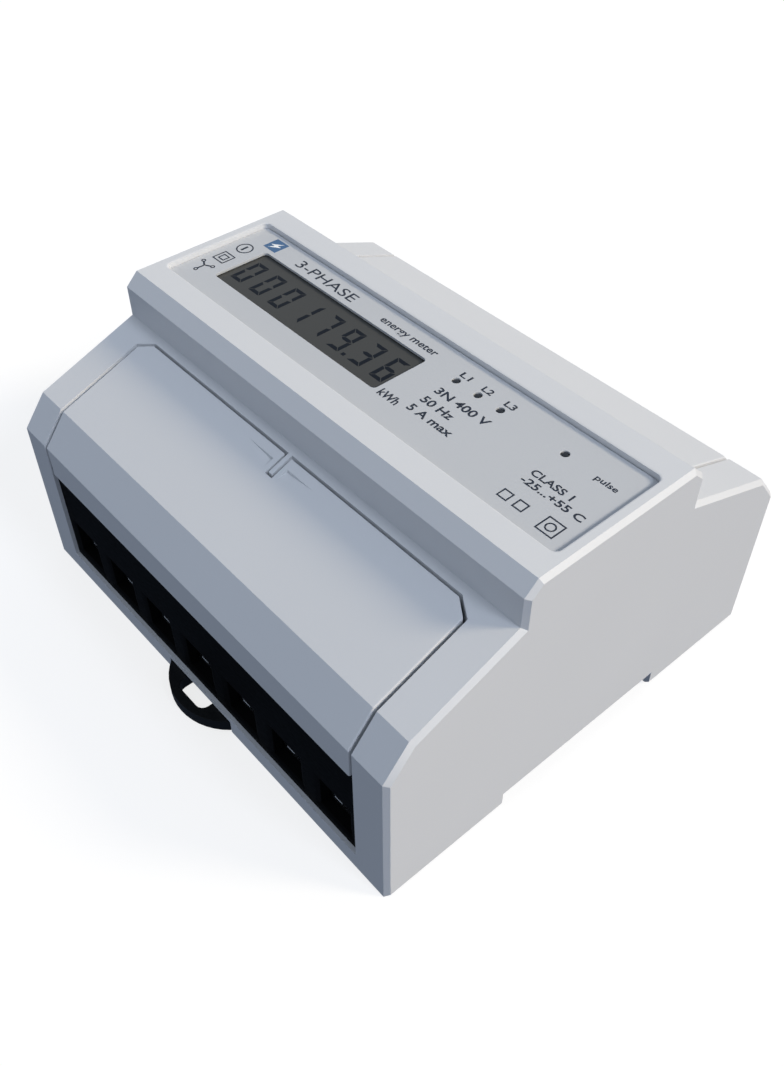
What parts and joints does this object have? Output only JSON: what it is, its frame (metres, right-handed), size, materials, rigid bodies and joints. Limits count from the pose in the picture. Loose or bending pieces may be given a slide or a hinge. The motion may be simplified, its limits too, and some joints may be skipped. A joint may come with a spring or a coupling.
{
  "type": "rail-mounted electricity meter",
  "caption": "Three-phase electricity meter for a 35 mm rail, with a display window, hinged covers over the screw terminals and a spring latch underneath.",
  "frame": {"origin": "middle of the meter's width, on the centre line of its 35 mm rail, in the plane of the meter's back edges", "axes": "+X along the rail, to the right when reading the front; +Y up across the rail, away from the latch; +Z out of the panel towards the reader"},
  "size_m": [0.122, 0.1115, 0.0648],
  "materials": {
    "light_grey_plastic": "fine spark-eroded grain",
    "label_grey_film": "printed film",
    "black_plastic": "fine grain",
    "clear_pane": "clear, polished",
    "nickelled_steel": "nickel plated",
    "board_green": "solder mask",
    "winding_tape": "taped winding",
    "capacitor_yellow": "dipped film case",
    "can_sleeve": "shrunk sleeve",
    "chip_black": "moulded",
    "led_green": "clear moulded",
    "led_red": "clear moulded",
    "lcd_grey": "polarised glass",
    "white_plastic": "moulded"
  },
  "bodies": {
    "meter": {"base_plate": "light_grey_plastic", "base_screw_1": "nickelled_steel", "base_screw_2": "nickelled_steel", "base_screw_3": "nickelled_steel", "base_screw_4": "nickelled_steel", "current_transformer_1": "winding_tape", "current_transformer_2": "winding_tape", "current_transformer_3": "winding_tape", "display_board": "board_green", "display_window": "clear_pane", "electrolytic_capacitor": "can_sleeve", "front_label_plate": "label_grey_film", "latch_spring": "nickelled_steel", "lcd_holder": "white_plastic", "lcd_panel": "lcd_grey", "main_board": "board_green", "main_casing": "light_grey_plastic", "metering_chip": "chip_black", "phase_led_1": "led_green", "phase_led_2": "led_green", "phase_led_3": "led_green", "pulse_led": "led_red", "pulse_optocoupler": "chip_black", "riser_board": "board_green", "supply_capacitor": "capacitor_yellow", "terminal_block_front": "black_plastic", "terminal_block_rear": "black_plastic"},
    "cover_front": {"terminal_cover_front": "light_grey_plastic"},
    "cover_rear": {"terminal_cover_rear": "light_grey_plastic"},
    "latch": {"rail_latch": "black_plastic"},
    "screw_front_1": {"clamp_screw_front_1": "nickelled_steel"},
    "cage_front_1": {"clamp_cage_front_1": "nickelled_steel"},
    "screw_front_2": {"clamp_screw_front_2": "nickelled_steel"},
    "cage_front_2": {"clamp_cage_front_2": "nickelled_steel"},
    "screw_front_3": {"clamp_screw_front_3": "nickelled_steel"},
    "cage_front_3": {"clamp_cage_front_3": "nickelled_steel"},
    "screw_front_4": {"clamp_screw_front_4": "nickelled_steel"},
    "cage_front_4": {"clamp_cage_front_4": "nickelled_steel"},
    "screw_front_5": {"clamp_screw_front_5": "nickelled_steel"},
    "cage_front_5": {"clamp_cage_front_5": "nickelled_steel"},
    "screw_front_6": {"clamp_screw_front_6": "nickelled_steel"},
    "cage_front_6": {"clamp_cage_front_6": "nickelled_steel"},
    "screw_front_7": {"clamp_screw_front_7": "nickelled_steel"},
    "cage_front_7": {"clamp_cage_front_7": "nickelled_steel"},
    "screw_rear_1": {"clamp_screw_rear_1": "nickelled_steel"},
    "cage_rear_1": {"clamp_cage_rear_1": "nickelled_steel"},
    "screw_rear_2": {"clamp_screw_rear_2": "nickelled_steel"},
    "cage_rear_2": {"clamp_cage_rear_2": "nickelled_steel"},
    "screw_rear_3": {"clamp_screw_rear_3": "nickelled_steel"},
    "cage_rear_3": {"clamp_cage_rear_3": "nickelled_steel"},
    "screw_rear_4": {"clamp_screw_rear_4": "nickelled_steel"},
    "cage_rear_4": {"clamp_cage_rear_4": "nickelled_steel"},
    "screw_rear_5": {"clamp_screw_rear_5": "nickelled_steel"},
    "cage_rear_5": {"clamp_cage_rear_5": "nickelled_steel"},
    "screw_rear_6": {"clamp_screw_rear_6": "nickelled_steel"},
    "cage_rear_6": {"clamp_cage_rear_6": "nickelled_steel"},
    "screw_rear_7": {"clamp_screw_rear_7": "nickelled_steel"},
    "cage_rear_7": {"clamp_cage_rear_7": "nickelled_steel"}
  },
  "joints": [
    {"name": "cover_front_hinge", "type": "hinge", "parent": "meter", "child": "cover_front", "pos_m": [0, -0.0518, 0.0321], "axis": [1, 0, 0], "range_deg": [0, 105]},
    {"name": "cover_rear_hinge", "type": "hinge", "parent": "meter", "child": "cover_rear", "pos_m": [0, 0.0518, 0.0321], "axis": [-1, 0, 0], "range_deg": [0, 105]},
    {"name": "latch_slide", "type": "slide", "parent": "meter", "child": "latch", "axis": [0, -1, 0], "range_m": [0, 0.0035], "stiffness_N_per_m": 1500, "springref_m": -0.004, "deforming": ["latch_spring"]},
    {"name": "cage_front_1_rise", "type": "slide", "parent": "meter", "child": "cage_front_1", "axis": [0, 0, 1], "range_m": [0, 0.00594]},
    {"name": "screw_front_1_turn", "type": "hinge", "parent": "meter", "child": "screw_front_1", "pos_m": [-0.045, -0.0457, 0.0281], "axis": [0, 0, 1], "range_deg": [0, 3060]},
    {"name": "cage_front_2_rise", "type": "slide", "parent": "meter", "child": "cage_front_2", "axis": [0, 0, 1], "range_m": [0, 0.00594]},
    {"name": "screw_front_2_turn", "type": "hinge", "parent": "meter", "child": "screw_front_2", "pos_m": [-0.03, -0.0457, 0.0281], "axis": [0, 0, 1], "range_deg": [0, 3060]},
    {"name": "cage_front_3_rise", "type": "slide", "parent": "meter", "child": "cage_front_3", "axis": [0, 0, 1], "range_m": [0, 0.00594]},
    {"name": "screw_front_3_turn", "type": "hinge", "parent": "meter", "child": "screw_front_3", "pos_m": [-0.015, -0.0457, 0.0281], "axis": [0, 0, 1], "range_deg": [0, 3060]},
    {"name": "cage_front_4_rise", "type": "slide", "parent": "meter", "child": "cage_front_4", "axis": [0, 0, 1], "range_m": [0, 0.00594]},
    {"name": "screw_front_4_turn", "type": "hinge", "parent": "meter", "child": "screw_front_4", "pos_m": [0, -0.0457, 0.0281], "axis": [0, 0, 1], "range_deg": [0, 3060]},
    {"name": "cage_front_5_rise", "type": "slide", "parent": "meter", "child": "cage_front_5", "axis": [0, 0, 1], "range_m": [0, 0.00594]},
    {"name": "screw_front_5_turn", "type": "hinge", "parent": "meter", "child": "screw_front_5", "pos_m": [0.015, -0.0457, 0.0281], "axis": [0, 0, 1], "range_deg": [0, 3060]},
    {"name": "cage_front_6_rise", "type": "slide", "parent": "meter", "child": "cage_front_6", "axis": [0, 0, 1], "range_m": [0, 0.00594]},
    {"name": "screw_front_6_turn", "type": "hinge", "parent": "meter", "child": "screw_front_6", "pos_m": [0.03, -0.0457, 0.0281], "axis": [0, 0, 1], "range_deg": [0, 3060]},
    {"name": "cage_front_7_rise", "type": "slide", "parent": "meter", "child": "cage_front_7", "axis": [0, 0, 1], "range_m": [0, 0.00594]},
    {"name": "screw_front_7_turn", "type": "hinge", "parent": "meter", "child": "screw_front_7", "pos_m": [0.045, -0.0457, 0.0281], "axis": [0, 0, 1], "range_deg": [0, 3060]},
    {"name": "cage_rear_1_rise", "type": "slide", "parent": "meter", "child": "cage_rear_1", "axis": [0, 0, 1], "range_m": [0, 0.00594]},
    {"name": "screw_rear_1_turn", "type": "hinge", "parent": "meter", "child": "screw_rear_1", "pos_m": [0.045, 0.0457, 0.0281], "axis": [0, 0, 1], "range_deg": [0, 3060]},
    {"name": "cage_rear_2_rise", "type": "slide", "parent": "meter", "child": "cage_rear_2", "axis": [0, 0, 1], "range_m": [0, 0.00594]},
    {"name": "screw_rear_2_turn", "type": "hinge", "parent": "meter", "child": "screw_rear_2", "pos_m": [0.03, 0.0457, 0.0281], "axis": [0, 0, 1], "range_deg": [0, 3060]},
    {"name": "cage_rear_3_rise", "type": "slide", "parent": "meter", "child": "cage_rear_3", "axis": [0, 0, 1], "range_m": [0, 0.00594]},
    {"name": "screw_rear_3_turn", "type": "hinge", "parent": "meter", "child": "screw_rear_3", "pos_m": [0.015, 0.0457, 0.0281], "axis": [0, 0, 1], "range_deg": [0, 3060]},
    {"name": "cage_rear_4_rise", "type": "slide", "parent": "meter", "child": "cage_rear_4", "axis": [0, 0, 1], "range_m": [0, 0.00594]},
    {"name": "screw_rear_4_turn", "type": "hinge", "parent": "meter", "child": "screw_rear_4", "pos_m": [0, 0.0457, 0.0281], "axis": [0, 0, 1], "range_deg": [0, 3060]},
    {"name": "cage_rear_5_rise", "type": "slide", "parent": "meter", "child": "cage_rear_5", "axis": [0, 0, 1], "range_m": [0, 0.00594]},
    {"name": "screw_rear_5_turn", "type": "hinge", "parent": "meter", "child": "screw_rear_5", "pos_m": [-0.015, 0.0457, 0.0281], "axis": [0, 0, 1], "range_deg": [0, 3060]},
    {"name": "cage_rear_6_rise", "type": "slide", "parent": "meter", "child": "cage_rear_6", "axis": [0, 0, 1], "range_m": [0, 0.00594]},
    {"name": "screw_rear_6_turn", "type": "hinge", "parent": "meter", "child": "screw_rear_6", "pos_m": [-0.03, 0.0457, 0.0281], "axis": [0, 0, 1], "range_deg": [0, 3060]},
    {"name": "cage_rear_7_rise", "type": "slide", "parent": "meter", "child": "cage_rear_7", "axis": [0, 0, 1], "range_m": [0, 0.00594]},
    {"name": "screw_rear_7_turn", "type": "hinge", "parent": "meter", "child": "screw_rear_7", "pos_m": [-0.045, 0.0457, 0.0281], "axis": [0, 0, 1], "range_deg": [0, 3060]}
  ],
  "couplings": [
    {"joint": "screw_front_1_turn", "follows": "cage_front_1_rise", "rad_per_m": 8976},
    {"joint": "screw_front_2_turn", "follows": "cage_front_2_rise", "rad_per_m": 8976},
    {"joint": "screw_front_3_turn", "follows": "cage_front_3_rise", "rad_per_m": 8976},
    {"joint": "screw_front_4_turn", "follows": "cage_front_4_rise", "rad_per_m": 8976},
    {"joint": "screw_front_5_turn", "follows": "cage_front_5_rise", "rad_per_m": 8976},
    {"joint": "screw_front_6_turn", "follows": "cage_front_6_rise", "rad_per_m": 8976},
    {"joint": "screw_front_7_turn", "follows": "cage_front_7_rise", "rad_per_m": 8976},
    {"joint": "screw_rear_1_turn", "follows": "cage_rear_1_rise", "rad_per_m": 8976},
    {"joint": "screw_rear_2_turn", "follows": "cage_rear_2_rise", "rad_per_m": 8976},
    {"joint": "screw_rear_3_turn", "follows": "cage_rear_3_rise", "rad_per_m": 8976},
    {"joint": "screw_rear_4_turn", "follows": "cage_rear_4_rise", "rad_per_m": 8976},
    {"joint": "screw_rear_5_turn", "follows": "cage_rear_5_rise", "rad_per_m": 8976},
    {"joint": "screw_rear_6_turn", "follows": "cage_rear_6_rise", "rad_per_m": 8976},
    {"joint": "screw_rear_7_turn", "follows": "cage_rear_7_rise", "rad_per_m": 8976}
  ]
}
